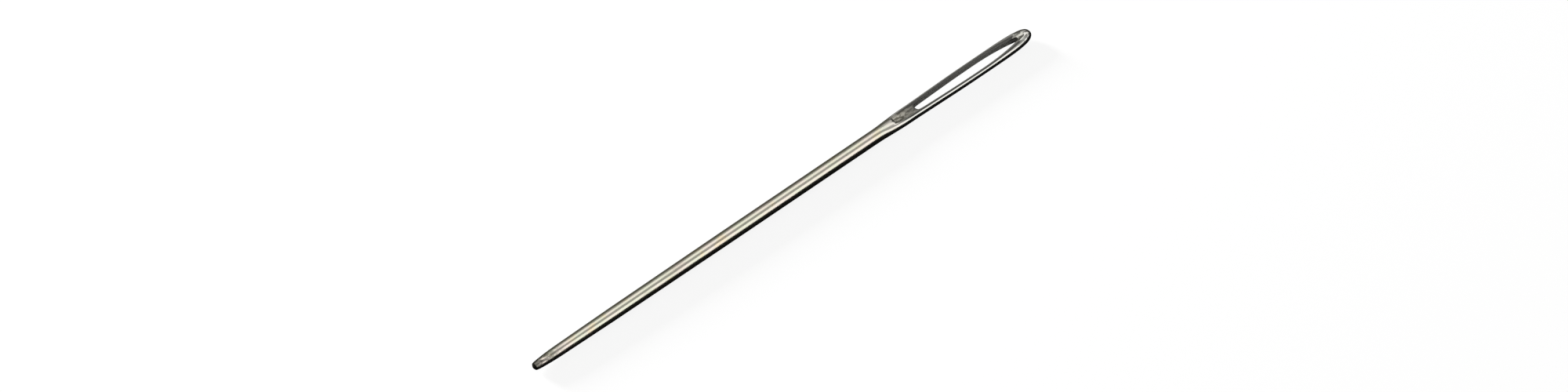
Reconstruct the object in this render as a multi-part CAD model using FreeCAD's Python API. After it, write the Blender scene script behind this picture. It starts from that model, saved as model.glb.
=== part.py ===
import FreeCAD, Part
import math
import os

from FreeCAD import Matrix, Vector

# A blunt stitching needle for leather, drawn from one piece of steel wire.
#
# It is made here in the order in which such a needle is made:
# the wire is ground to a round shank with a long taper and a blunt point,
# its other end is pressed flat and wide for the head,
# a gutter is pressed into both faces of the head for the thread to lie in,
# and the long eye is punched through between the two gutters.
#
# X runs from the point to the head, and the eye goes through along Z.
# While it is made, X is measured from the point, and the axis of the shank is at Z = 0.
# The finished needle lies on its shank, so it is moved until the middle of its length
# is at X = 0 and the lowest line of the shank is at Z = 0.
# All sizes are in millimetres.

# The whole needle
NEEDLE_LENGTH = 57.2

# The shank: a short round point and a long taper in two straight stages, ground on the end of the wire
SHANK_DIAMETER = 1.27
POINT_LENGTH = 3.0
POINT_LOSS = 0.27
SLOW_TAPER_LENGTH = 13.0
SLOW_TAPER_LOSS = 0.08
QUICK_TAPER_LENGTH = 6.0
QUICK_TAPER_LOSS = 0.12

# The flattened head, which starts a little before its gutters
NECK_LENGTH = 3.6
NECK_BEFORE_GUTTER = 2.3
HEAD_THICKNESS = 0.94
LIMB_WIDTH = 0.375
WIDEST_FROM_END = 5.9
HEAD_SQUARENESS = 2.6
CROWN_FULLNESS = 4.6
CROWN_SQUARENESS = 2.35
CROWN_EDGE_LENGTH = 0.6
CROWN_FLAT_DEPTH = 0.008

# The eye
EYE_LENGTH = 11.9
EYE_FOOT_WIDTH = 0.80
EYE_SWELLING = 0.25
EYE_CROWN_RADIUS = 0.20
EYE_WALL_AT_CROWN = 1.45
EYE_EDGE_ROUNDING = 0.08

# The gutter on each face, which reaches a lip's width past the eye on both sides
GUTTER_RUN_IN = 2.55
GUTTER_RUN_OUT = 0.75
GUTTER_LIP = 0.18
GUTTER_WEB = 0.32
GUTTER_TOOL_LIFT = 0.13
GUTTER_RIM_ROUNDING = 0.06

# How finely the head is drawn: points round each section, and sections along the neck, limbs and crown
SECTION_POINTS = 24
NECK_STEPS = 5
LIMB_STEPS = 3
CROWN_STEPS = 11

# How closely the ground shank and the pressed head have to meet at the neck
JOIN_TOLERANCE = 0.0001

# Sizes and places that follow from those above
SHANK_RADIUS = SHANK_DIAMETER / 2
TAPER_BREAK_RADIUS = SHANK_RADIUS - SLOW_TAPER_LOSS / 2
TAPER_END_RADIUS = TAPER_BREAK_RADIUS - QUICK_TAPER_LOSS / 2
POINT_NOSE_RADIUS = TAPER_END_RADIUS - POINT_LOSS / 2
EYE_FOOT_RADIUS = EYE_FOOT_WIDTH / 2
EYE_HALF_WIDTH = EYE_FOOT_RADIUS + EYE_SWELLING / 2
SHOULDER_HALF_WIDTH = EYE_FOOT_RADIUS + LIMB_WIDTH
HEAD_HALF_WIDTH = EYE_HALF_WIDTH + LIMB_WIDTH
TAPER_BREAK_X = POINT_LENGTH + QUICK_TAPER_LENGTH
PARALLEL_START = TAPER_BREAK_X + SLOW_TAPER_LENGTH
WIDEST_X = NEEDLE_LENGTH - WIDEST_FROM_END
EYE_END = NEEDLE_LENGTH - EYE_WALL_AT_CROWN
EYE_START = EYE_END - EYE_LENGTH
GUTTER_START = EYE_START - GUTTER_RUN_IN
GUTTER_END = EYE_END + GUTTER_RUN_OUT
NECK_START = GUTTER_START - NECK_BEFORE_GUTTER
NECK_END = NECK_START + NECK_LENGTH

SIDEWAYS_IN = Vector(0, -1, 0)


def flank_and_nose(start, inward, tip_x, nose_radius):
    """Two edges: a long arc from start, square to inward there, and the round nose that ends on the axis."""
    side = 1 if tip_x > start.x else -1
    nose_centre = Vector(tip_x - side * nose_radius, 0, 0)
    reach = start.sub(nose_centre)
    flank_radius = (nose_radius ** 2 - reach.dot(reach)) / (2 * (reach.dot(inward) + nose_radius))
    flank_centre = start.add(inward * flank_radius)
    outward = nose_centre.sub(flank_centre).normalize()
    meeting = nose_centre.add(outward * nose_radius)
    bisector = start.sub(flank_centre).normalize().add(outward).normalize()
    flank_middle = flank_centre.add(bisector * flank_radius)
    nose_middle = nose_centre.add(outward.add(Vector(side, 0, 0)).normalize() * nose_radius)
    flank = Part.Arc(start, flank_middle, meeting).toShape()
    nose = Part.Arc(meeting, nose_middle, Vector(tip_x, 0, 0)).toShape()
    return [flank, nose]


def revolve_about_x(upper_edges, first_x, last_x):
    """A solid of revolution about the X axis from the upper half of its outline."""
    axis_edge = Part.makeLine(Vector(first_x, 0, 0), Vector(last_x, 0, 0))
    outline = Part.Wire(Part.__sortEdges__(upper_edges + [axis_edge]))
    return Part.Face(outline).revolve(Vector(0, 0, 0), Vector(1, 0, 0), 360)


def shank():
    """The round shank: a blunt point, a long gentle taper in two stages and a parallel stretch."""
    taper_end = Vector(POINT_LENGTH, TAPER_END_RADIUS, 0)
    taper_break = Vector(TAPER_BREAK_X, TAPER_BREAK_RADIUS, 0)
    parallel_start = Vector(PARALLEL_START, SHANK_RADIUS, 0)
    parallel_end = Vector(NECK_START, SHANK_RADIUS, 0)
    corners = [taper_end, taper_break, parallel_start, parallel_end, Vector(NECK_START, 0, 0)]
    straights = [Part.makeLine(first, last) for first, last in zip(corners, corners[1:])]

    along = taper_break.sub(taper_end).normalize()
    inward = Vector(along.y, -along.x, 0)
    point = flank_and_nose(taper_end, inward, 0, POINT_NOSE_RADIUS)
    return revolve_about_x(point + straights, 0, NECK_START)


def ease(x, start, end):
    """0 before start, 1 after end, and a smooth change between them."""
    t = min(max((x - start) / (end - start), 0), 1)
    return t ** 3 * (t * (6 * t - 15) + 10)


def head_half_width(x):
    """Half the width of the head, which swells towards its widest place and closes as a round crown."""
    if x > WIDEST_X:
        t = (x - WIDEST_X) / (WIDEST_FROM_END + CROWN_FLAT_DEPTH)
        return HEAD_HALF_WIDTH * (1 - t ** CROWN_FULLNESS) ** (1 / CROWN_SQUARENESS)
    neck_gain = (SHOULDER_HALF_WIDTH - SHANK_RADIUS) * ease(x, NECK_START, NECK_END)
    swelling = HEAD_HALF_WIDTH - SHOULDER_HALF_WIDTH
    limb_gain = swelling * ease(x, NECK_START + NECK_LENGTH / 2, WIDEST_X)
    return SHANK_RADIUS + neck_gain + limb_gain


def head_half_thickness(x):
    """Half the thickness of the head, pressed down from the round wire and rounded off at the crown."""
    half = SHANK_RADIUS + (HEAD_THICKNESS / 2 - SHANK_RADIUS) * ease(x, NECK_START, NECK_END)
    t = max(x - (NEEDLE_LENGTH - CROWN_EDGE_LENGTH), 0) / (CROWN_EDGE_LENGTH + CROWN_FLAT_DEPTH)
    return half * math.sqrt(1 - t ** 2)


def head_section(x):
    """The closed outline across the head at x: a circle at the neck, fuller than an oval further on."""
    power = 2 + (HEAD_SQUARENESS - 2) * ease(x, NECK_START, NECK_END)
    half_width = head_half_width(x)
    half_thickness = head_half_thickness(x)
    outline = []
    for step in range(SECTION_POINTS):
        turn = 2 * math.pi * step / SECTION_POINTS
        across = math.cos(turn)
        up = math.sin(turn)
        fullness = (abs(across) ** power + abs(up) ** power) ** (-1 / power)
        outline.append(Vector(x, half_width * across * fullness, half_thickness * up * fullness))
    curve = Part.BSplineCurve()
    even = [step / SECTION_POINTS for step in range(SECTION_POINTS + 1)]
    curve.interpolate(Points=outline, PeriodicFlag=True, Parameters=even)
    return Part.Wire([curve.toShape()])


def head_blank():
    """The head before its gutters and eye: one skin through sections across it."""
    limb_run = WIDEST_X - NECK_END
    crown_turns = [math.pi / 2 * step / CROWN_STEPS for step in range(CROWN_STEPS + 1)]
    places = [NECK_START + NECK_LENGTH * step / NECK_STEPS for step in range(NECK_STEPS)]
    places += [NECK_END + limb_run * step / LIMB_STEPS for step in range(LIMB_STEPS)]
    places += [WIDEST_X + WIDEST_FROM_END * math.sin(turn) for turn in crown_turns]
    return Part.makeLoft([head_section(x) for x in places], True, False)


def boat_outline(start_x, end_x, grown_by):
    """The upper half of the eye's long boat shape between start_x and end_x, grown on every side."""
    widest = Vector(WIDEST_X, EYE_HALF_WIDTH + grown_by, 0)
    foot = flank_and_nose(widest, SIDEWAYS_IN, start_x, EYE_FOOT_RADIUS + grown_by)
    crown = flank_and_nose(widest, SIDEWAYS_IN, end_x, EYE_CROWN_RADIUS + grown_by)
    return foot + crown


def gutter(side):
    """The tool that presses one gutter: a slim spindle, flattened and held over the face on that side."""
    outline = boat_outline(GUTTER_START, GUTTER_END, GUTTER_LIP)
    spindle = revolve_about_x(outline, GUTTER_START, GUTTER_END)
    height = HEAD_THICKNESS / 2 + GUTTER_TOOL_LIFT
    flatten = Matrix()
    flatten.scale(Vector(1, 1, (height - GUTTER_WEB / 2) / (EYE_HALF_WIDTH + GUTTER_LIP)))
    tool = spindle.transformGeometry(flatten)
    tool.translate(Vector(0, 0, side * height))
    return tool


def eye_punch():
    """The punch that makes the eye, long enough to pass through both faces."""
    upper = boat_outline(EYE_START, EYE_END, 0)
    lower = [edge.mirror(Vector(0, 0, 0), SIDEWAYS_IN) for edge in upper]
    punch = Part.Face(Part.Wire(Part.__sortEdges__(upper + lower)))
    punch.translate(Vector(0, 0, -SHANK_DIAMETER))
    return punch.extrude(Vector(0, 0, 2 * SHANK_DIAMETER))


def gutter_rims(shape):
    """The edges round every opening that lies within one face: here, the rims of both gutters."""
    rims = []
    for face in shape.Faces:
        for wire in face.Wires:
            if not wire.isSame(face.OuterWire):
                rims += wire.Edges
    return rims


def is_upright(edge):
    """Whether an edge runs straight along Z, as the edges between two walls of the eye do."""
    box = edge.BoundBox
    return math.hypot(box.XLength, box.YLength) < JOIN_TOLERANCE


def eye_rims(shape):
    """The edges at the top and bottom of the upright walls that the punch has left."""
    round_walls = [face for face in shape.Faces if isinstance(face.Surface, Part.Cylinder)]
    rims = []
    for wall in round_walls:
        axis = wall.Surface.Axis
        if abs(axis.z) > abs(axis.x):
            rims += [edge for edge in wall.Edges if not is_upright(edge)]
    return rims


def needle():
    """The finished needle, with the axis of its shank on X."""
    blank = shank().fuse([head_blank()], JOIN_TOLERANCE)
    pressed = blank.cut([gutter(1), gutter(-1)])
    pressed = pressed.makeFillet(GUTTER_RIM_ROUNDING, gutter_rims(pressed))
    pierced = pressed.cut(eye_punch())
    return pierced.makeFillet(EYE_EDGE_ROUNDING, eye_rims(pierced))


part = needle()
part.translate(Vector(-NEEDLE_LENGTH / 2, 0, SHANK_RADIUS))
print("valid", part.isValid(), "solids", len(part.Solids), "faces", len(part.Faces))
print("volume", round(part.Volume, 3), "length", NEEDLE_LENGTH, "head width", 2 * HEAD_HALF_WIDTH)

os.makedirs("parts", exist_ok=True)
part.Solids[0].exportStep("parts/needle.step")
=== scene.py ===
# %% [markdown]
# # A leather stitching needle
#
# The needle is one piece of steel wire: ground to a long taper with a blunt point, pressed flat at the
# other end, grooved on both faces of that flat head, and pierced by a long eye.
# This lesson models it as one smooth skin, gives it a worn nickel finish, and lights it as
# a photographer lights polished metal.
#
# While the skin is made, lengths are in millimetres, X is measured from the point
# and the needle's axis is at Z = 0. At the end it is moved to its place in the frame, in metres.

# %% The frame
import math

import bmesh
import bpy
from mathutils import Matrix, Vector


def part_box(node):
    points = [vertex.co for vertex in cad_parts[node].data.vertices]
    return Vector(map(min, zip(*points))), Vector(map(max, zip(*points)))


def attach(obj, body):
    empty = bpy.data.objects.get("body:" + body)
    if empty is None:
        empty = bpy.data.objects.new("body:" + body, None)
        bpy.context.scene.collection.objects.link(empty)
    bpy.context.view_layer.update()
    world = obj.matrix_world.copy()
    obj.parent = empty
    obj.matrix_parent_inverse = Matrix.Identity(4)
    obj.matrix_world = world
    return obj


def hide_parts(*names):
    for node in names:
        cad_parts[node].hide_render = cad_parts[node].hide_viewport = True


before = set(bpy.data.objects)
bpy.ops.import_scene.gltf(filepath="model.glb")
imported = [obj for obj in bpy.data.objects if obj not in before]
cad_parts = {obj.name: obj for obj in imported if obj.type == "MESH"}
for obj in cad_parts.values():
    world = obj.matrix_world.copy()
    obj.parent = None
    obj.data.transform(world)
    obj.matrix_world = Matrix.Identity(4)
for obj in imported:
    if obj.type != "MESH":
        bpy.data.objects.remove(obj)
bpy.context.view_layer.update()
MM = 0.001
needle_low, needle_high = [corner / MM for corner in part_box("needle")]
print("the needle's box in mm:", [round(v, 3) for v in (*needle_low, *needle_high)])

# %% [markdown]
# ## Sizes
#
# The box gives the length, the width of the head and the diameter of the wire.
# The other sizes are the needle's own.

# %% Sizes from the frame
LENGTH = needle_high.x - needle_low.x
WIRE_RADIUS = (needle_high.z - needle_low.z) / 2
HEAD_HALF_WIDTH = (needle_high.y - needle_low.y) / 2
AXIS_HEIGHT = (needle_high.z + needle_low.z) / 2
print("length", round(LENGTH, 2), "wire radius", round(WIRE_RADIUS, 3),
      "half head", round(HEAD_HALF_WIDTH, 3))

# %% Sizes of the shank
POINT_LENGTH = 3.0
TAPER_BREAK = 9.0
PARALLEL_START = 22.0
TAPER_BREAK_RADIUS = WIRE_RADIUS - 0.04
TAPER_END_RADIUS = WIRE_RADIUS - 0.10
NOSE_RADIUS = 0.40
print("the wire is", round(2 * TAPER_END_RADIUS, 2), "mm thick where the point starts")

# %% Sizes of the head
NECK_START = LENGTH - 18.2
NECK_LENGTH = 3.6
HEAD_HALF_THICKNESS = 0.47
SHOULDER_HALF_WIDTH = 0.775
SQUARENESS = 2.6
CROWN_LENGTH = 5.9
WIDEST = LENGTH - CROWN_LENGTH
CROWN_FULLNESS = 4.6
CROWN_SQUARENESS = 2.35
CROWN_EDGE_LENGTH = 0.6
print("the head is widest", round(WIDEST, 1), "mm from the point")

# %% Sizes of the eye and its gutter
EYE_END = LENGTH - 1.45
EYE_START = EYE_END - 11.9
EYE_FOOT_RADIUS = 0.40
EYE_CROWN_RADIUS = 0.20
EYE_HALF_WIDTH = 0.525
GUTTER_START = EYE_START - 2.55
GUTTER_END = EYE_END + 0.75
GUTTER_END_LIP = 0.18
GUTTER_SIDE_LIP = 0.24
GUTTER_HALF_WEB = 0.16
TOOL_OVER_FACE = 0.13
TOOL_HEIGHT = HEAD_HALF_THICKNESS + TOOL_OVER_FACE
TOOL_FLATNESS = (TOOL_HEIGHT - GUTTER_HALF_WEB) / (EYE_HALF_WIDTH + GUTTER_SIDE_LIP)
print("the eye runs from", round(EYE_START, 1), "to", round(EYE_END, 1), "mm from the point")

# %% [markdown]
# ## The forms as formulas
#
# Three short formulas hold the whole head, as a maker's gauges would:
# how wide and thick the pressed metal is at each place, the long boat shape of the eye,
# and how deep the gutter's tool has gone.
# The skin is then laid over these forms.

# %% The pressed head
def ease(x, start, end):
    """0 before start, 1 after end, and a smooth change between them."""
    t = min(max((x - start) / (end - start), 0), 1)
    return t ** 3 * (t * (6 * t - 15) + 10)


def pressing(x):
    """How far the round wire has been pressed into the flat head at x."""
    return ease(x, NECK_START, NECK_START + NECK_LENGTH)


def half_width(x):
    """Half the head's width, from the round wire to the full head and round the crown."""
    if x > WIDEST:
        t = min((x - WIDEST) / CROWN_LENGTH, 1)
        return HEAD_HALF_WIDTH * (1 - t ** CROWN_FULLNESS) ** (1 / CROWN_SQUARENESS)
    swell = ease(x, NECK_START + NECK_LENGTH / 2, WIDEST)
    shoulder_gain = (SHOULDER_HALF_WIDTH - WIRE_RADIUS) * pressing(x)
    return WIRE_RADIUS + shoulder_gain + (HEAD_HALF_WIDTH - SHOULDER_HALF_WIDTH) * swell


def half_thickness(x):
    """Half the head's thickness, pressed down from the round wire and rounded off at the crown."""
    half = WIRE_RADIUS + (HEAD_HALF_THICKNESS - WIRE_RADIUS) * pressing(x)
    t = min(max(x - (LENGTH - CROWN_EDGE_LENGTH), 0) / CROWN_EDGE_LENGTH, 1)
    return half * math.sqrt(1 - t ** 2)


def face_height(x, y):
    """How high the pressed face lies over the needle's axis, before the gutter."""
    power = 2 + (SQUARENESS - 2) * pressing(x)
    across = min(abs(y) / max(half_width(x), 1e-6), 1)
    return half_thickness(x) * (1 - across ** power) ** (1 / power)


print("the face lies", round(face_height(WIDEST, 0), 3), "mm over the axis")

# %% The boat shape of the eye
def boat(x, start, end, end_lip=0, side_lip=0):
    """Half the width of the eye's shape between start and end, with a lip round its ends and sides."""
    side = -1 if x < WIDEST else 1
    nose_radius = end_lip + (EYE_FOOT_RADIUS if x < WIDEST else EYE_CROWN_RADIUS)
    nose_x = start + nose_radius if x < WIDEST else end - nose_radius
    top = EYE_HALF_WIDTH + side_lip
    run = nose_x - WIDEST
    arc_radius = (run ** 2 + top ** 2 - nose_radius ** 2) / (2 * (top - nose_radius))
    arc_centre = top - arc_radius
    meeting = nose_x + nose_radius * run / math.hypot(run, arc_centre)
    if side * (x - meeting) < 0:
        return arc_centre + math.sqrt(arc_radius ** 2 - (x - WIDEST) ** 2)
    return math.sqrt(max(nose_radius ** 2 - (x - nose_x) ** 2, 0))


def gutter_height(x, y):
    """How high the gutter's floor lies over the axis, or a great height outside its tool."""
    outside_tool = 9.0
    if not GUTTER_START < x < GUTTER_END:
        return outside_tool
    inside = boat(x, GUTTER_START, GUTTER_END, GUTTER_END_LIP, GUTTER_SIDE_LIP) ** 2 - y ** 2
    return TOOL_HEIGHT - TOOL_FLATNESS * math.sqrt(inside) if inside > 0 else outside_tool


print("half the eye's width at its widest:", round(boat(WIDEST, EYE_START, EYE_END), 3))

# %% [markdown]
# ## Spokes from the eye
#
# A modeller could cut the eye out of a finished head, but a cut leaves ragged faces, and polished
# metal shows every one of them. So the skin is grown outwards from the eye instead.
# Spokes run from the rim of the eye over the lip and the limb to the side of the head,
# and each loop of the skin crosses every spoke once.
# The needle is the same on both sides and both faces, so only a quarter is laid out.

# %% Where the spokes start and end
FOOT_ANGLES = [0, 30, 60]
CROWN_ANGLES = [80, 40, 0]
LIMB_STEPS = 18
LAST_FOOT = len(FOOT_ANGLES) - 1
FIRST_CROWN = LAST_FOOT + LIMB_STEPS - 2
SPOKES = LAST_FOOT + LIMB_STEPS + 1
NECK_RING = NECK_START + 1.6


def on_nose(tip_x, inward, radius, degrees):
    """A point on a round nose of the eye, turned by some degrees from its tip."""
    turn = math.radians(degrees)
    return Vector((tip_x + inward * radius * (1 - math.cos(turn)), radius * math.sin(turn)))


def side_end(number):
    """Where a spoke ends on the side of the head: evenly along the limb, then evenly round the crown."""
    share = (number - LAST_FOOT) / LIMB_STEPS
    if share <= 0.5:
        x = NECK_RING + (WIDEST - NECK_RING) * share * 2
    else:
        x = WIDEST + CROWN_LENGTH * math.sin(math.pi * (share - 0.5))
    return Vector((x, half_width(x)))


foot_corner = on_nose(EYE_START, 1, EYE_FOOT_RADIUS, FOOT_ANGLES[-1])
crown_corner = on_nose(EYE_END, -1, EYE_CROWN_RADIUS, CROWN_ANGLES[0])
foot_lead = foot_corner.x - side_end(LAST_FOOT).x
crown_lag = side_end(FIRST_CROWN).x - crown_corner.x
print(SPOKES, "spokes on each side; the first on the limb leads by", round(foot_lead, 2), "mm")

# %% Where the spokes start on the eye
def eye_end(number):
    """Where a spoke starts on the outline of the eye.

    Near the foot it starts ahead of its end on the side of the head, and near the crown behind it.
    """
    if number <= LAST_FOOT:
        return on_nose(EYE_START, 1, EYE_FOOT_RADIUS, FOOT_ANGLES[number])
    if number >= FIRST_CROWN:
        return on_nose(EYE_END, -1, EYE_CROWN_RADIUS, CROWN_ANGLES[number - FIRST_CROWN])
    share = (number - LAST_FOOT) / (FIRST_CROWN - LAST_FOOT)
    x = side_end(number).x + foot_lead * (1 - share) ** 3 - crown_lag * share ** 3
    return Vector((x, boat(x, EYE_START, EYE_END)))


def gutter_rim(start, end):
    """Where the line from start to end leaves the gutter and comes out on the face."""
    inside, outside = 0.0, 1.0
    for halving in range(30):
        middle = (inside + outside) / 2
        x, y = start.lerp(end, middle)
        if gutter_height(x, y) < face_height(x, y):
            inside = middle
        else:
            outside = middle
    return start.lerp(end, inside)


print("the gutter starts at", round(gutter_rim(eye_end(0), Vector((NECK_RING, 0))).x, 2), "mm")

# %% [markdown]
# ## The loops of one quarter
#
# Ten loops go round the eye. Three make its upright wall and rounded edge, two lie in the gutter,
# two stand close together at the rim so that it stays crisp when the skin is smoothed,
# and three go over the limb to the side.
# The first three spokes end on a ring round the neck instead, where the shank will join.

# %% Places of the loops
EDGE_ROUNDING = 0.07
EDGE_SHARE = 0.3
RIM_ROUNDING = 0.05
# From the gutter's floor out to its rim: the distance of each loop from the rim,
# and the largest share of the lip's width that this distance may take.
GUTTER_PLACES = ((0.65, 0.5), (0.22, 0.38), (RIM_ROUNDING, 0.25))
OVER_THE_LIMB = (60, 30, 0)
LOOPS = 10
TOP_LOOP = 7
RING_STEPS = 16
QUARTER_RING = RING_STEPS // 4
print("loop", TOP_LOOP, "is the last that goes all the way round")

# %% The points of one spoke
def neck_point(step, x):
    """A point on the section at x, counted in ring steps from the side up to the top."""
    turn = 2 * math.pi * step / RING_STEPS
    power = 2 + (SQUARENESS - 2) * pressing(x)
    across, up = math.cos(turn), math.sin(turn)
    fullness = (abs(across) ** power + abs(up) ** power) ** (-1 / power)
    return Vector((x, half_width(x) * across * fullness, half_thickness(x) * up * fullness))


def spoke(number):
    """The points of one spoke, from the middle of the eye's wall to the side of the head."""
    start = eye_end(number)
    on_foot = number <= LAST_FOOT
    end = neck_point(QUARTER_RING - number, NECK_RING).xy if on_foot else side_end(number)
    rim = gutter_rim(start, end)
    lip = (rim - start).length
    outward = (rim - start).normalized()
    floor = [start + outward * min(EDGE_ROUNDING, lip * EDGE_SHARE)]
    floor += [rim - outward * min(inside, lip * share) for inside, share in GUTTER_PLACES]
    wall = gutter_height(*start) - EDGE_ROUNDING
    points = [Vector((*start, 0)), Vector((*start, wall))]
    points += [Vector((*place, gutter_height(*place))) for place in floor]
    over = rim + outward * RIM_ROUNDING
    points.append(Vector((*over, face_height(*over))))
    if on_foot:
        down = range(LOOPS - TOP_LOOP)
        return points + [neck_point(QUARTER_RING - number - step, NECK_RING) for step in down]
    for turn in OVER_THE_LIMB:
        place = end.lerp(over, 1 - math.cos(math.radians(turn)))
        points.append(Vector((*place, face_height(*place) if turn else 0)))
    return points


middle_spoke = spoke(LAST_FOOT + LIMB_STEPS // 2)
print("a spoke half way along the limb:", [tuple(round(v, 3) for v in point) for point in middle_spoke])

# %% [markdown]
# ## Growing the skin
#
# The first loop stands on the middle of the eye's wall. Each later loop is extruded from the one before,
# and every new point takes the next place on its own spoke.
# Each point also notes how far the press has dulled it and how dark it is painted: the wall of the eye
# takes painted shade and the gutter's lip a painted dark line. The finish reads those notes later.

# %% Where the metal is dull, and where shade and a dark line are painted on it
# How dark each loop is painted, from the eye's wall out to the side of the head: 0 is bare metal,
# 1 the dark line painted along the gutter's lip and 2 the painted shade on the wall of the eye.
FOOT_DARKENING = (2, 1, 0.3, 0.05, 0.2, 0.5, 0, 0, 0, 0)
LIMB_DARKENING = (2, 2, 1.2, 1, 1, 1, 1, 0, 0, 0)
CROWN_DARKENING = (2, 0.3, 0, 0, 0, 0, 0, 0, 0, 0)
FIRST_CROWN_MARKS = FIRST_CROWN - 1
LAST_PRESSED_LOOP = 5
PRESSED_AT_CROWN = 0.4


def darkening_of(number):
    """How dark each loop of a spoke is painted."""
    if abs(number) <= LAST_FOOT:
        return FOOT_DARKENING
    return CROWN_DARKENING if abs(number) >= FIRST_CROWN_MARKS else LIMB_DARKENING


def pressed_at(number, loop):
    """How far the press has dulled the metal at one loop of a spoke."""
    if loop > LAST_PRESSED_LOOP:
        return 0
    return PRESSED_AT_CROWN if abs(number) >= FIRST_CROWN_MARKS else 1


# On a limb, the dark line painted along the gutter's lip ends at this loop.
print("the stain on a limb ends at loop", LIMB_DARKENING.index(0))

# %% The first loop and a tool to grow the next
skin = bmesh.new()
spoke_of = skin.verts.layers.int.new("spoke")
pressed = skin.verts.layers.float.new("pressed")
shade_and_lip_darkness = skin.verts.layers.float.new("shade_and_lip_darkness")
numbers = [*range(SPOKES), *range(2 - SPOKES, 0)]
quarter = [spoke(number) for number in range(SPOKES)]


def place_on_spokes(verts, loop):
    """Put each point at its place on its own spoke."""
    for vert in verts:
        number = vert[spoke_of]
        x, y, z = quarter[abs(number)][loop]
        vert.co = (x, math.copysign(y, number) if number else y, z)
        vert[shade_and_lip_darkness] = darkening_of(number)[loop]
        vert[pressed] = pressed_at(number, loop)


def grow(edges):
    """Extrude some edges and give back the new points and the new edges."""
    grown = bmesh.ops.extrude_edge_only(skin, edges=edges)["geom"]
    verts = [item for item in grown if isinstance(item, bmesh.types.BMVert)]
    fresh = set(verts)
    edges = [item for item in grown
             if isinstance(item, bmesh.types.BMEdge) and fresh.issuperset(item.verts)]
    return verts, edges


loop_verts = bmesh.ops.create_circle(skin, segments=len(numbers), radius=1)["verts"]
loop_edges = skin.edges[:]
for vert, number in zip(loop_verts, numbers):
    vert[spoke_of] = number
place_on_spokes(loop_verts, 0)
print(len(loop_verts), "points round the eye")

# %% The upper half of the head
for loop in range(1, TOP_LOOP + 1):
    loop_verts, loop_edges = grow(loop_edges)
    place_on_spokes(loop_verts, loop)
neck_edges = [edge for edge in loop_edges if min(abs(vert[spoke_of]) for vert in edge.verts) < LAST_FOOT]
loop_edges = [edge for edge in loop_edges if edge not in neck_edges]
for loop in range(TOP_LOOP + 1, LOOPS):
    loop_verts, loop_edges = grow(loop_edges)
    place_on_spokes(loop_verts, loop)
print("the upper half has", len(skin.faces), "faces")

# %% The lower half, mirrored and joined
everything = skin.verts[:] + skin.edges[:] + skin.faces[:]
bmesh.ops.mirror(skin, geom=everything, matrix=Matrix.Identity(4), merge_dist=1e-5, axis="Z")
ring_edges = [edge for edge in skin.edges if edge.is_boundary]
print("the whole head has", len(skin.faces), "faces and", len(ring_edges), "open edges at the neck")

# %% [markdown]
# ## The shank and the point
#
# The ring at the neck is drawn out along the shank, with a pair of rings round each change of slope
# and hardly any where the wire is straight. The point is a small round nose.

# %% The shank as a formula
TAPER_SLOPE = math.atan((TAPER_BREAK_RADIUS - TAPER_END_RADIUS) / (TAPER_BREAK - POINT_LENGTH))


def point_arc():
    """The centre and radius of the arc that runs from the end of the taper into the nose."""
    start = Vector((POINT_LENGTH, TAPER_END_RADIUS))
    inward = Vector((math.sin(TAPER_SLOPE), -math.cos(TAPER_SLOPE)))
    reach = start - Vector((NOSE_RADIUS, 0))
    radius = (NOSE_RADIUS ** 2 - reach.length_squared) / (2 * (reach.dot(inward) + NOSE_RADIUS))
    return start + inward * radius, radius


ARC_CENTRE, ARC_RADIUS = point_arc()
NOSE_MEETING = NOSE_RADIUS + NOSE_RADIUS * (Vector((NOSE_RADIUS, 0)) - ARC_CENTRE).normalized().x


def shank_radius(x):
    """The radius of the ground wire at x."""
    if x < NOSE_MEETING:
        return math.sqrt(max(NOSE_RADIUS ** 2 - (x - NOSE_RADIUS) ** 2, 0))
    if x < POINT_LENGTH:
        return ARC_CENTRE.y + math.sqrt(ARC_RADIUS ** 2 - (x - ARC_CENTRE.x) ** 2)
    if x < TAPER_BREAK:
        return TAPER_END_RADIUS + (x - POINT_LENGTH) * math.tan(TAPER_SLOPE)
    slow = min((x - TAPER_BREAK) / (PARALLEL_START - TAPER_BREAK), 1)
    return TAPER_BREAK_RADIUS + (WIRE_RADIUS - TAPER_BREAK_RADIUS) * slow


print("radius 1 mm from the point:", round(shank_radius(1), 3), "and half way:", round(shank_radius(30), 3))

# %% Rings along the shank
nose_stations = [NOSE_RADIUS * (1 - math.cos(math.radians(turn))) for turn in (68, 46, 24)]
stations = [NECK_START + 1.2, NECK_START + 0.7, NECK_START, 37.5, 30,
            PARALLEL_START + 0.6, PARALLEL_START - 0.6, 15, TAPER_BREAK + 0.5, TAPER_BREAK - 0.5, 6,
            POINT_LENGTH + 0.4, POINT_LENGTH - 0.4, 1.8, 1.2, 0.75, *nose_stations]
before = NECK_RING
for station in stations:
    ring_verts, ring_edges = grow(ring_edges)
    for vert in ring_verts:
        turn = math.atan2(vert.co.z / half_thickness(before), vert.co.y / half_width(before))
        if station > NECK_START:
            vert.co = neck_point(turn * RING_STEPS / (2 * math.pi), station)
        else:
            radius = shank_radius(station)
            vert.co = (station, radius * math.cos(turn), radius * math.sin(turn))
    before = max(station, NECK_START)
tip_verts = grow(ring_edges)[0]
bmesh.ops.pointmerge(skin, verts=tip_verts, merge_co=(0, 0, 0))
print(len(stations), "rings along the shank; the skin has", len(skin.faces), "faces")

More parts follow.
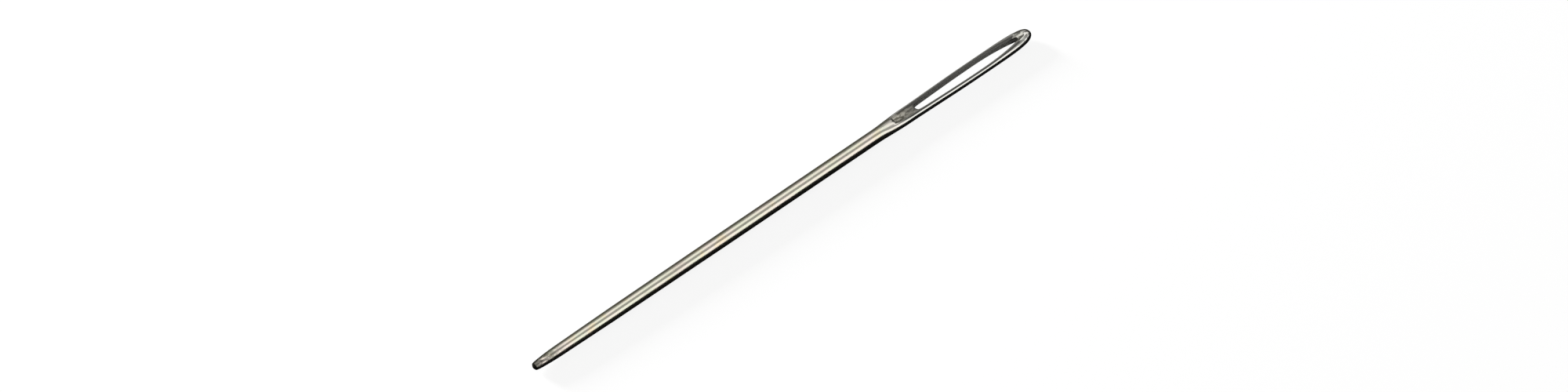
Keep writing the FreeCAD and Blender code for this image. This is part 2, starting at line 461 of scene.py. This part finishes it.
# %% The finished cage
for vert in skin.verts:
    vert.co = (vert.co - Vector((LENGTH / 2, 0, -AXIS_HEIGHT))) * MM
bmesh.ops.recalc_face_normals(skin, faces=skin.faces[:])
for face in skin.faces:
    face.smooth = True
mesh = bpy.data.meshes.new("needle_skin")
skin.to_mesh(mesh)
open_edges = sum(edge.is_boundary for edge in skin.edges)
skin.free()
needle = bpy.data.objects.new("needle_skin", mesh)
bpy.context.collection.objects.link(needle)
print("the cage has", len(mesh.vertices), "points and", open_edges, "open edges")

# %% [markdown]
# ## Smoothing
#
# A subdivided skin shrinks a little from the points of its cage. The cage is let out by the same amount,
# a few times over, until the smooth skin passes through the places that were meant.

# %% The smooth skin
FITTINGS = 8
smooth = needle.modifiers.new("smooth", "SUBSURF")
smooth.levels = 2
smooth.render_levels = 2
places = [vert.co.copy() for vert in mesh.vertices]
for fitting in range(FITTINGS):
    smoothed = needle.evaluated_get(bpy.context.evaluated_depsgraph_get()).data
    misses = [place - smoothed.vertices[number].co for number, place in enumerate(places)]
    print("largest miss in mm:", round(max(miss.length for miss in misses) / MM, 4),
          "on a skin of", len(smoothed.polygons), "faces")
    for vert, miss in zip(mesh.vertices, misses):
        vert.co += miss
    mesh.update()

# %% Its place in the frame
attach(needle, "root")
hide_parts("needle")
print("the skin stands for the solid needle")

# %% [markdown]
# ## Tools for the finish
#
# The finish is made of shader nodes: patterns that are worked out at each point of the surface.
# A small class holds one wire between nodes, so that sums of patterns can be written as plain sums.
# It also makes every other kind of node, from the node's settings and from what goes into its sockets.

# %% Wires between shader nodes
class Wire:
    """A value that runs between shader nodes. A sum written with it adds the nodes for that sum."""

    def __init__(self, tree, socket=None):
        self.tree = tree
        self.socket = socket

    def node(self, kind, settings, inputs, output=0):
        """Add a node, set it up, give its sockets their values or wires, and return one output."""
        made = self.tree.nodes.new(kind)
        for name, value in settings.items():
            setattr(made, name, value)
        for name, value in inputs.items():
            if isinstance(value, Wire):
                self.tree.links.new(value.socket, made.inputs[name])
            else:
                made.inputs[name].default_value = value
        return Wire(self.tree, made.outputs[output] if made.outputs else None)

    def maths(self, operation, first, second):
        """Add the Math node for one operation on two values."""
        return self.node("ShaderNodeMath", {"operation": operation}, {0: first, 1: second})

    def __add__(self, other):
        return self.maths("ADD", self, other)

    def __mul__(self, other):
        return self.maths("MULTIPLY", self, other)

    def __rsub__(self, other):
        return self.maths("SUBTRACT", other, self)

    __radd__ = __add__
    __rmul__ = __mul__


print("wires can be added, multiplied and taken from a number")

# %% Patterns, ramps and mixtures
def new_finish(name):
    """An empty material and a wire from which its nodes are made."""
    material = bpy.data.materials.new(name)
    material.use_nodes = True
    material.node_tree.nodes.clear()
    return material, Wire(material.node_tree)


def noise(place, sizes, detail=2.0):
    """Soft noise between 0 and 1 with grains of the given sizes in mm along X, Y and Z."""
    stretch = tuple(1 / (size * MM) for size in sizes)
    grains = place.node("ShaderNodeMapping", {}, {"Vector": place, "Scale": stretch})
    return place.node("ShaderNodeTexNoise", {}, {"Vector": grains, "Scale": 1.0, "Detail": detail}, "Fac")


def ramp(value, low, high):
    """A smooth change from 0 at low to 1 at high."""
    limits = {"Value": value, "From Min": low, "From Max": high}
    return value.node("ShaderNodeMapRange", {"interpolation_type": "SMOOTHSTEP"}, limits, "Result")


def mixture(share, first, second):
    """The first colour where the share is 0, the second where it is 1."""
    return share.node("ShaderNodeMix", {"data_type": "RGBA"}, {0: share, 6: first, 7: second}, 2)


def finish_with(shader):
    """Plug a shader into the output of its material."""
    shader.node("ShaderNodeOutputMaterial", {}, {"Surface": shader})


print("grains are sized in millimetres")

# %% [markdown]
# ## Nickel over steel
#
# Nickel is a pale metal that is a little warmer than chrome. On a needle it is thin, and the wheel
# that polishes the wire leaves lines along it. The plating drifts a little in tint from place to place.
# The press leaves the gutters dull and mottled, since no wheel reaches into them. Painted shade darkens the
# wall of the eye, a dark line is painted along the gutter's lip, and mottled dark reflections are painted
# on the nose and the crown.
# Each of these is one pattern, and the finish is their sum.

# %% Where the patterns lie
nickel, start = new_finish("worn_nickel")
place = start.node("ShaderNodeTexCoord", {}, {}, "Object")
along = start.node("ShaderNodeSeparateXYZ", {}, {"Vector": place}, "X") * (1 / MM) + LENGTH / 2
in_gutter = start.node("ShaderNodeAttribute", {"attribute_name": "pressed"}, {}, "Fac")
shade_and_lip_depth = start.node("ShaderNodeAttribute", {"attribute_name": "shade_and_lip_darkness"}, {}, "Fac")
# Masks for the dark line painted along the gutter's lip and the painted shade on the eye's wall.
in_dark_lip_and_painted_shade = ramp(shade_and_lip_depth, 0, 0.45)
on_shaded_wall = ramp(shade_and_lip_depth, 1, 2)
at_nose = 1 - ramp(along, 0.3, 1.2)
at_point = 1 - ramp(along, 0.8, 4.0)
at_crown = ramp(along, LENGTH - 2.2, LENGTH - 0.8)
on_head = ramp(along, NECK_START - 1, EYE_START)
print("masks for the gutters, the eye, the point and the head")

# %% Patterns of the plating
tint_drift = ramp(noise(place, (1.8, 1.5, 1.5)), 0.36, 0.64)
tarnish = ramp(noise(place, (2.2, 0.8, 0.8), 3.0), 0.52, 0.72)
polish_lines = noise(place, (6.0, 0.09, 0.09), 3.0)
fine_lines = noise(place, (2.5, 0.035, 0.035), 1.0)
hand_waves = noise(place, (1.8, 0.7, 0.7), 1.0)
marbling = ramp(noise(place, (0.45, 0.18, 0.18), 3.0), 0.40, 0.60)
gold_spots = ramp(noise(place, (1.3, 0.9, 0.9), 2.0), 0.56, 0.70)
# Mottled dark reflections painted on the point and the crown.
end_dark_reflections = ramp(noise(place, (0.45, 0.2, 0.2), 3.0), 0.44, 0.56)
print("eight patterns of grain")

# %% Colours of the metal, its tarnish, and its painted shade, dark line and dark reflections
WARM_NICKEL = (0.69, 0.62, 0.555, 1)
OLIVE_NICKEL = (0.625, 0.63, 0.515, 1)
COLD_NICKEL = (0.66, 0.66, 0.635, 1)
GOLDEN = (0.72, 0.60, 0.40, 1)
TARNISHED = (0.50, 0.46, 0.38, 1)
GUTTER_PALE = (0.50, 0.48, 0.42, 1)
GUTTER_DARK = (0.15, 0.14, 0.115, 1)
# A dark line painted along the gutter's lip, and painted shade on the wall of the eye.
LIP_DARK_LINE = (0.085, 0.083, 0.075, 1)
WALL_PAINTED_SHADE = (0.18, 0.177, 0.165, 1)
# A painted dark reflection on the nose and the crown.
END_DARK_REFLECTION = (0.09, 0.085, 0.075, 1)
print("the nickel drifts from", WARM_NICKEL[:3], "to", OLIVE_NICKEL[:3])

# %% The colour of the plating
GOLD_SHARE = 0.6
TARNISH_SHARE = 0.35
COLD_SHARE = 0.8
# How strongly the dark reflections are painted on the point and on the crown.
POINT_REFLECTION_SHARE = 0.85
CROWN_REFLECTION_SHARE = 0.8
plating = mixture(tint_drift, WARM_NICKEL, OLIVE_NICKEL)
plating = mixture(gold_spots * GOLD_SHARE, plating, GOLDEN)
plating = mixture(tarnish * TARNISH_SHARE, plating, TARNISHED)
plating = mixture(on_head * COLD_SHARE, plating, COLD_NICKEL)
plating = mixture(in_gutter, plating, mixture(marbling, GUTTER_DARK, GUTTER_PALE))
# Painted shade on the wall of the eye, and a dark line painted along the gutter's lip.
plating = mixture(in_dark_lip_and_painted_shade, plating, mixture(on_shaded_wall, LIP_DARK_LINE, WALL_PAINTED_SHADE))
# Mottled dark reflections painted on the point and the crown, solid at the nose.
painted_end_reflections = end_dark_reflections * (at_point * POINT_REFLECTION_SHARE + at_crown * CROWN_REFLECTION_SHARE)
painted_end_reflections = painted_end_reflections.maths("MAXIMUM", painted_end_reflections, at_nose * POINT_REFLECTION_SHARE)
plating = mixture(painted_end_reflections, plating, END_DARK_REFLECTION)
print("colours mixed from", len(start.tree.nodes), "nodes")

# %% The roughness of the plating
BARE_ROUGHNESS = 0.15
LINES_ROUGHNESS = 0.10
TARNISH_ROUGHNESS = 0.05
GUTTER_ROUGHNESS = 0.22
MARBLING_GLOSS = 0.10
END_REFLECTION_ROUGHNESS = 0.15
DARKENING_OVER_METAL = 0.85
dullness = BARE_ROUGHNESS + polish_lines * LINES_ROUGHNESS + tarnish * TARNISH_ROUGHNESS
dullness = dullness + in_gutter * (GUTTER_ROUGHNESS - MARBLING_GLOSS * marbling) + painted_end_reflections * END_REFLECTION_ROUGHNESS
# Where shade and the lip's dark line are painted, the metal gives way to dull paint.
shine = 1 - in_dark_lip_and_painted_shade * DARKENING_OVER_METAL
print("the roughness starts from", BARE_ROUGHNESS)

# %% The relief of the plating, in microns
WAVES_DEPTH = 9.0
LINES_DEPTH = 1.6
FINE_LINES_DEPTH = 0.5
GUTTER_GRAIN_DEPTH = 6.0
MICRON = MM / 1000
height = hand_waves * WAVES_DEPTH + polish_lines * LINES_DEPTH + fine_lines * FINE_LINES_DEPTH
height = height + in_gutter * marbling * GUTTER_GRAIN_DEPTH
relief = start.node("ShaderNodeBump", {}, {"Strength": 1.0, "Distance": MICRON, "Height": height})
metal = start.node("ShaderNodeBsdfPrincipled", {}, {
    "Base Color": plating, "Metallic": shine, "Roughness": dullness, "Normal": relief})
finish_with(metal)
mesh.materials.append(nickel)
print("the nickel has", len(nickel.node_tree.nodes), "nodes")

# %% [markdown]
# ## The table
#
# The needle lies on a plain white table. The camera sees most of the white directly, as light of
# strength 1, and a part of it as lit paper, which is the part that takes the needle's soft shadow.

# %% The table
def sheet(name, material, matrix):
    """A square, one metre wide before the matrix, that only stages the picture."""
    square = bmesh.new()
    bmesh.ops.create_grid(square, x_segments=1, y_segments=1, size=0.5, matrix=matrix)
    made = bpy.data.meshes.new(name)
    square.to_mesh(made)
    square.free()
    made.materials.append(material)
    staged = bpy.data.objects.new(name, made)
    bpy.context.collection.objects.link(staged)
    return staged


SELF_LIT = 0.88
TABLE_WIDTH = 3
paper, start = new_finish("white_paper")
lit = start.node("ShaderNodeBsdfDiffuse", {}, {"Color": (0.9, 0.9, 0.9, 1)})
white = start.node("ShaderNodeEmission", {}, {"Color": (1, 1, 1, 1), "Strength": 1.0})
seen = sum(start.node("ShaderNodeLightPath", {}, {}, ray)
           for ray in ("Is Camera Ray", "Is Glossy Ray", "Is Transmission Ray"))
finish_with(start.node("ShaderNodeMixShader", {}, {0: seen * SELF_LIT, 1: lit, 2: white}))
sheet("table", paper, Matrix.Scale(TABLE_WIDTH, 4))
print("a table", TABLE_WIDTH, "m wide at Z = 0")

# %% The room
ROOM_LEVEL = 0.45
room = bpy.data.worlds.new("room")
bpy.context.scene.world = room
room.use_nodes = True
room.node_tree.nodes.clear()
start = Wire(room.node_tree)
to_camera = start.node("ShaderNodeLightPath", {}, {}, "Is Camera Ray")
level = ROOM_LEVEL + to_camera * (1 - ROOM_LEVEL)
background = start.node("ShaderNodeBackground", {}, {"Color": (1, 1, 0.99, 1), "Strength": level})
start.node("ShaderNodeOutputWorld", {}, {"Surface": background})
print("a room of even light")

# %% [markdown]
# ## Cards
#
# Polished metal has hardly any colour of its own: it shows what stands round it. A photographer of needles
# sets long white cards and black flags beside them, and the bright and dark lines on the shank are
# those cards. Each one is given by its angle across the needle, from straight up towards the camera's side.
# The camera looks along the needle at a slant, so what it sees in the metal lies further along,
# and the cards do too. A black card beyond each end darkens the nose and the crown.

# %% White and dark cards
CARD_DISTANCE = 0.5
# About how far the camera's view runs along the needle for each metre across it.
CARD_LEAN = 0.468
BLACK = (0.005, 0.005, 0.005)


def glowing_sheet(name, colour, matrix):
    """A sheet of even light, which only the metal sees."""
    material, start = new_finish(name)
    finish_with(start.node("ShaderNodeEmission", {}, {"Color": (*colour, 1), "Strength": 1.0}))
    staged = sheet(name, material, matrix)
    staged.visible_camera = staged.visible_diffuse = staged.visible_shadow = False


def card(name, colour, first_angle, last_angle):
    """A sheet a metre long beside the needle, between two angles round it."""
    middle = math.radians(first_angle + last_angle) / 2
    half = math.radians(last_angle - first_angle) / 2
    size = Matrix.Diagonal((1, 2 * CARD_DISTANCE * math.tan(half), 1, 1))
    shift = Matrix.Translation((CARD_LEAN * CARD_DISTANCE, 0, CARD_DISTANCE))
    glowing_sheet(name, colour, Matrix.Rotation(middle, 4, "X") @ shift @ size)


card("near_white_card", (1.43, 1.43, 1.41), 38, 79)
card("near_black_card", BLACK, 80, 95)
card("far_white_card", (1.28, 1.28, 1.25), -35, 2)
card("far_grey_card", (0.13, 0.13, 0.11), -95, -58)
print("two white cards, a black one and a grey one")

# %% Flags on the table
FLAG_LENGTH = 2.4
FLAG_REACH = 0.5
FLAG_HEIGHT = 0.00002
FLAGS_MEET = 0.0004


def flag(name, colour, first_y, last_y):
    """A dark strip along the needle, just over the table."""
    size = Matrix.Diagonal((FLAG_LENGTH, last_y - first_y, 1, 1))
    shift = Matrix.Translation((0, (first_y + last_y) / 2, FLAG_HEIGHT))
    glowing_sheet(name, colour, shift @ size)


flag("near_black_flag", BLACK, -FLAG_REACH, FLAGS_MEET)
flag("far_grey_flag", (0.11, 0.11, 0.095), FLAGS_MEET, FLAG_REACH)
print("a black flag before the needle and a grey one behind it")

# %% Cards beyond both ends
END_CARD_DISTANCE = 0.5
END_CARD_WIDTH = 1.6


def end_card(name, x, height):
    """A black sheet that stands on the table, across the line of the needle."""
    upright = Matrix.Rotation(math.pi / 2, 4, "Y") @ Matrix.Diagonal((height, END_CARD_WIDTH, 1, 1))
    glowing_sheet(name, BLACK, Matrix.Translation((x, 0, height / 2)) @ upright)


end_card("point_end_card", -END_CARD_DISTANCE, 0.3)
end_card("head_end_card", END_CARD_DISTANCE, 0.22)
print("a black card", END_CARD_DISTANCE, "m from the needle's middle at each end")

# %% [markdown]
# ## The lamp
#
# One wide, low lamp behind the needle lays its soft shadow on the table, towards the camera.

# %% The lamp
LAMP_AZIMUTH, LAMP_ELEVATION = math.radians(105), math.radians(14)
LAMP_DISTANCE, LAMP_WIDTH, LAMP_LEVEL = 0.6, 0.14, 189.0
lamp = bpy.data.lights.new("low_lamp", "AREA")
lamp.size = LAMP_WIDTH
lamp.energy = LAMP_LEVEL * math.pi * LAMP_WIDTH ** 2
lamp_object = bpy.data.objects.new("low_lamp", lamp)
towards_lamp = Vector((math.cos(LAMP_AZIMUTH) * math.cos(LAMP_ELEVATION),
                       math.sin(LAMP_AZIMUTH) * math.cos(LAMP_ELEVATION), math.sin(LAMP_ELEVATION)))
lamp_object.location = towards_lamp * LAMP_DISTANCE
lamp_object.rotation_euler = towards_lamp.to_track_quat("Z", "Y").to_euler()
lamp_object.visible_camera = lamp_object.visible_glossy = False
bpy.context.collection.objects.link(lamp_object)
print("a lamp of", round(lamp.energy, 2), "W")

# %% [markdown]
# ## The camera
#
# The photograph looks down on the needle at a slant and from its point. A needle is small and was
# photographed from far away with a long lens, so the camera here is a parallel one.

# %% The camera
bpy.context.scene.view_settings.view_transform = "Standard"
AZIMUTH, ELEVATION = math.radians(-41.42), math.radians(50)
PIXELS_PER_MM = 14.77
PICTURE_WIDTH = 2000
CAMERA_DISTANCE = 0.6
# How far right of the needle's middle, and how far above it, the picture's middle lies in pixels.
PICTURE_MIDDLE = Vector((3.1, 4.8, 0))
lens = bpy.data.cameras.new("camera")
lens.type = "ORTHO"
lens.ortho_scale = PICTURE_WIDTH / PIXELS_PER_MM * MM
camera = bpy.data.objects.new("camera", lens)
camera.rotation_euler = (math.pi / 2 - ELEVATION, 0, AZIMUTH)
turned = camera.rotation_euler.to_matrix()
aim = Vector((0, 0, AXIS_HEIGHT)) + turned @ PICTURE_MIDDLE / PIXELS_PER_MM
camera.location = aim * MM + turned @ Vector((0, 0, CAMERA_DISTANCE))
bpy.context.collection.objects.link(camera)
bpy.context.scene.camera = camera
print("the camera stands at", [round(v, 3) for v in camera.location])
